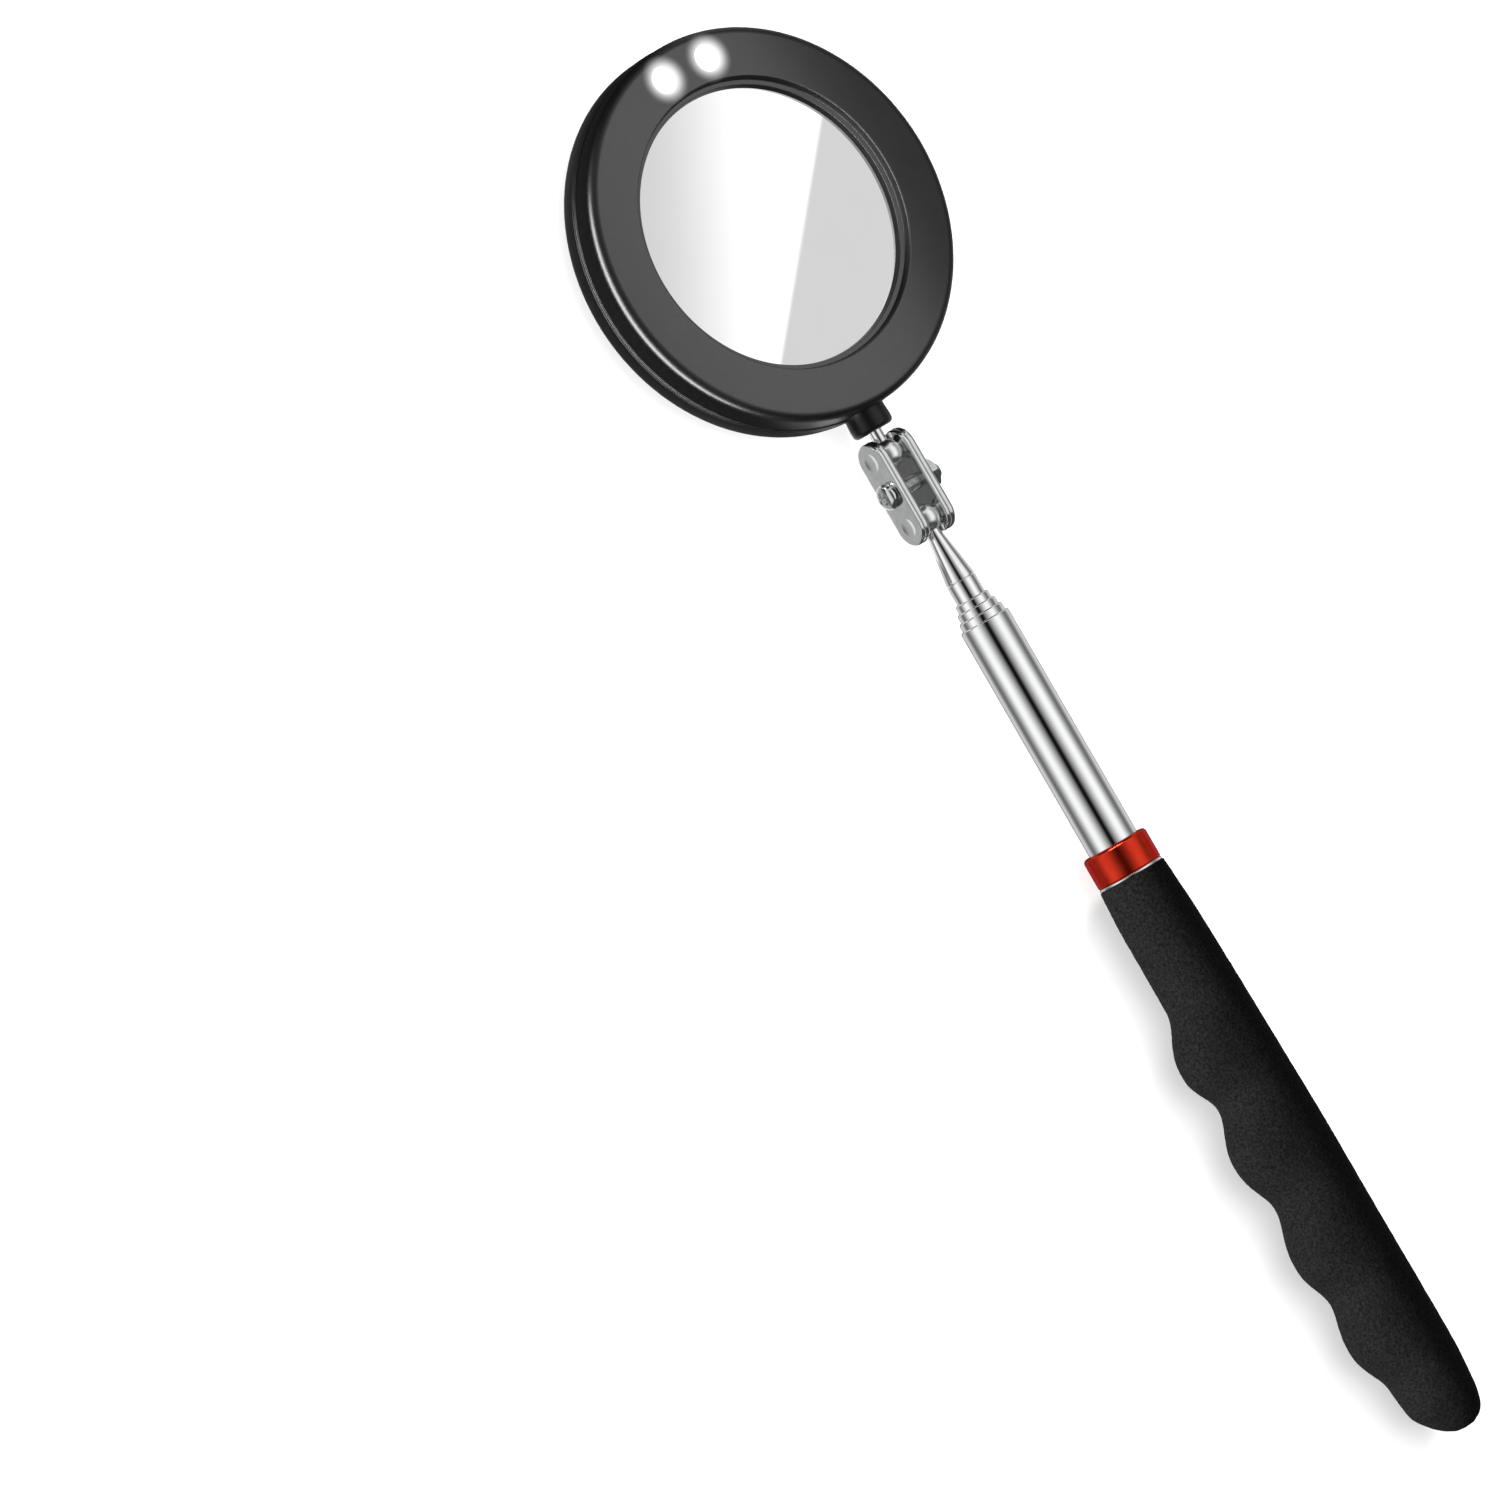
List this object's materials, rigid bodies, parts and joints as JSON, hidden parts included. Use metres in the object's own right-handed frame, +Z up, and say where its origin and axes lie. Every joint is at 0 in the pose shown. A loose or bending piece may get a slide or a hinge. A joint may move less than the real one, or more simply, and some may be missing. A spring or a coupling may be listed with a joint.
{
  "type": "telescoping inspection mirror",
  "caption": "Telescoping inspection mirror with a round lit head on a double ball joint, sliding chrome tube sections, red collar and finger-ridged foam grip.",
  "frame": {"origin": "on the surface the tool lies on, under the middle of its outline", "axes": "X along the tool with the head towards -X; +Z up, out of the mirror's face; the finger ridges and the clamp screw's head face -Y"},
  "size_m": [0.306, 0.08, 0.017],
  "materials": {
    "foam": "fine matte foam",
    "steel_trim": "bright",
    "red_collar": "red anodised, satin",
    "chrome_tube": "mirror bright",
    "chrome_stud": "bright",
    "plate_steel": "nickel plated, tumbled",
    "fastener_steel": "zinc plated",
    "head_black": "satin black",
    "inner_plastic": "matte",
    "mirror_face": "silvered glass",
    "pad_foam": "foam tape",
    "led_lens": "clear lens, lit",
    "board_green": "solder mask",
    "wire_red": "sheath",
    "cell_case": "bright",
    "contact_brass": "spring strip",
    "brass_sleeve": "spring sleeve",
    "switch_can": "tin plated",
    "knob_white": "moulded",
    "screw_black": "black oxide"
  },
  "bodies": {
    "handle": {"grip": "foam", "collar_washer": "steel_trim", "grip_collar": "red_collar", "outer_tube": "chrome_tube", "tube_end_plug": "inner_plastic"},
    "drag_sleeve_4": {"bush_4": "brass_sleeve"},
    "section_4": {"tube_4": "chrome_tube"},
    "drag_sleeve_3": {"bush_3": "brass_sleeve"},
    "section_3": {"tube_3": "chrome_tube"},
    "drag_sleeve_2": {"bush_2": "brass_sleeve"},
    "section_2": {"tube_2": "chrome_tube"},
    "drag_sleeve_1": {"bush_1": "brass_sleeve"},
    "section_1": {"tube_1": "chrome_tube", "lower_ball_stud": "chrome_stud"},
    "clamp": {"joint_plate_screw_side": "plate_steel", "joint_plate_nut_side": "plate_steel", "clamp_screw": "fastener_steel", "clamp_nut": "fastener_steel"},
    "stud": {"upper_ball_stud": "chrome_stud"},
    "head": {"neck_boss": "head_black", "head_front_bezel": "head_black", "head_back_shell": "head_black", "inner_deck": "inner_plastic", "mirror_glass": "mirror_face", "mirror_pad": "pad_foam", "led_left": "led_lens", "led_right": "led_lens", "led_board": "board_green", "led_wires": "wire_red", "coin_cell_left": "cell_case", "coin_cell_right": "cell_case", "cell_contacts": "contact_brass", "switch_body": "switch_can", "case_screws": "screw_black"},
    "door": {"battery_door": "head_black", "door_contact": "contact_brass", "door_screw": "fastener_steel"},
    "switch": {"switch_slider": "knob_white"}
  },
  "joints": [
    {"name": "section_4_slide", "type": "slide", "parent": "handle", "child": "drag_sleeve_4", "axis": [-1, 0, 0], "range_m": [0, 0.143]},
    {"name": "section_4_turn", "type": "hinge", "parent": "drag_sleeve_4", "child": "section_4", "pos_m": [0.02927, 0, 0.0085], "axis": [-1, 0, 0], "continuous": true},
    {"name": "section_3_slide", "type": "slide", "parent": "section_4", "child": "drag_sleeve_3", "axis": [-1, 0, 0], "range_m": [0, 0.143]},
    {"name": "section_3_turn", "type": "hinge", "parent": "drag_sleeve_3", "child": "section_3", "pos_m": [0.02927, 0, 0.0085], "axis": [-1, 0, 0], "continuous": true},
    {"name": "section_2_slide", "type": "slide", "parent": "section_3", "child": "drag_sleeve_2", "axis": [-1, 0, 0], "range_m": [0, 0.143]},
    {"name": "section_2_turn", "type": "hinge", "parent": "drag_sleeve_2", "child": "section_2", "pos_m": [0.02927, 0, 0.0085], "axis": [-1, 0, 0], "continuous": true},
    {"name": "section_1_slide", "type": "slide", "parent": "section_2", "child": "drag_sleeve_1", "axis": [-1, 0, 0], "range_m": [0, 0.143]},
    {"name": "section_1_turn", "type": "hinge", "parent": "drag_sleeve_1", "child": "section_1", "pos_m": [0.02927, 0, 0.0085], "axis": [-1, 0, 0], "continuous": true},
    {"name": "lower_ball_fold", "type": "hinge", "parent": "section_1", "child": "clamp", "pos_m": [-0.04958, 0, 0.0085], "axis": [0, 1, 0], "range_deg": [-120, 120]},
    {"name": "upper_ball_fold", "type": "hinge", "parent": "clamp", "child": "stud", "pos_m": [-0.06377, 0, 0.0085], "axis": [0, -1, 0], "range_deg": [-100, 100]},
    {"name": "head_spin", "type": "hinge", "parent": "stud", "child": "head", "pos_m": [-0.06377, 0, 0.0085], "axis": [-1, 0, 0], "continuous": true},
    {"name": "battery_door_lift", "type": "slide", "parent": "head", "child": "door", "axis": [0, 0, -1], "range_m": [0, 0.012]},
    {"name": "switch_slide", "type": "slide", "parent": "head", "child": "switch", "axis": [0, 1, 0], "range_m": [-0.0025, 0]}
  ]
}
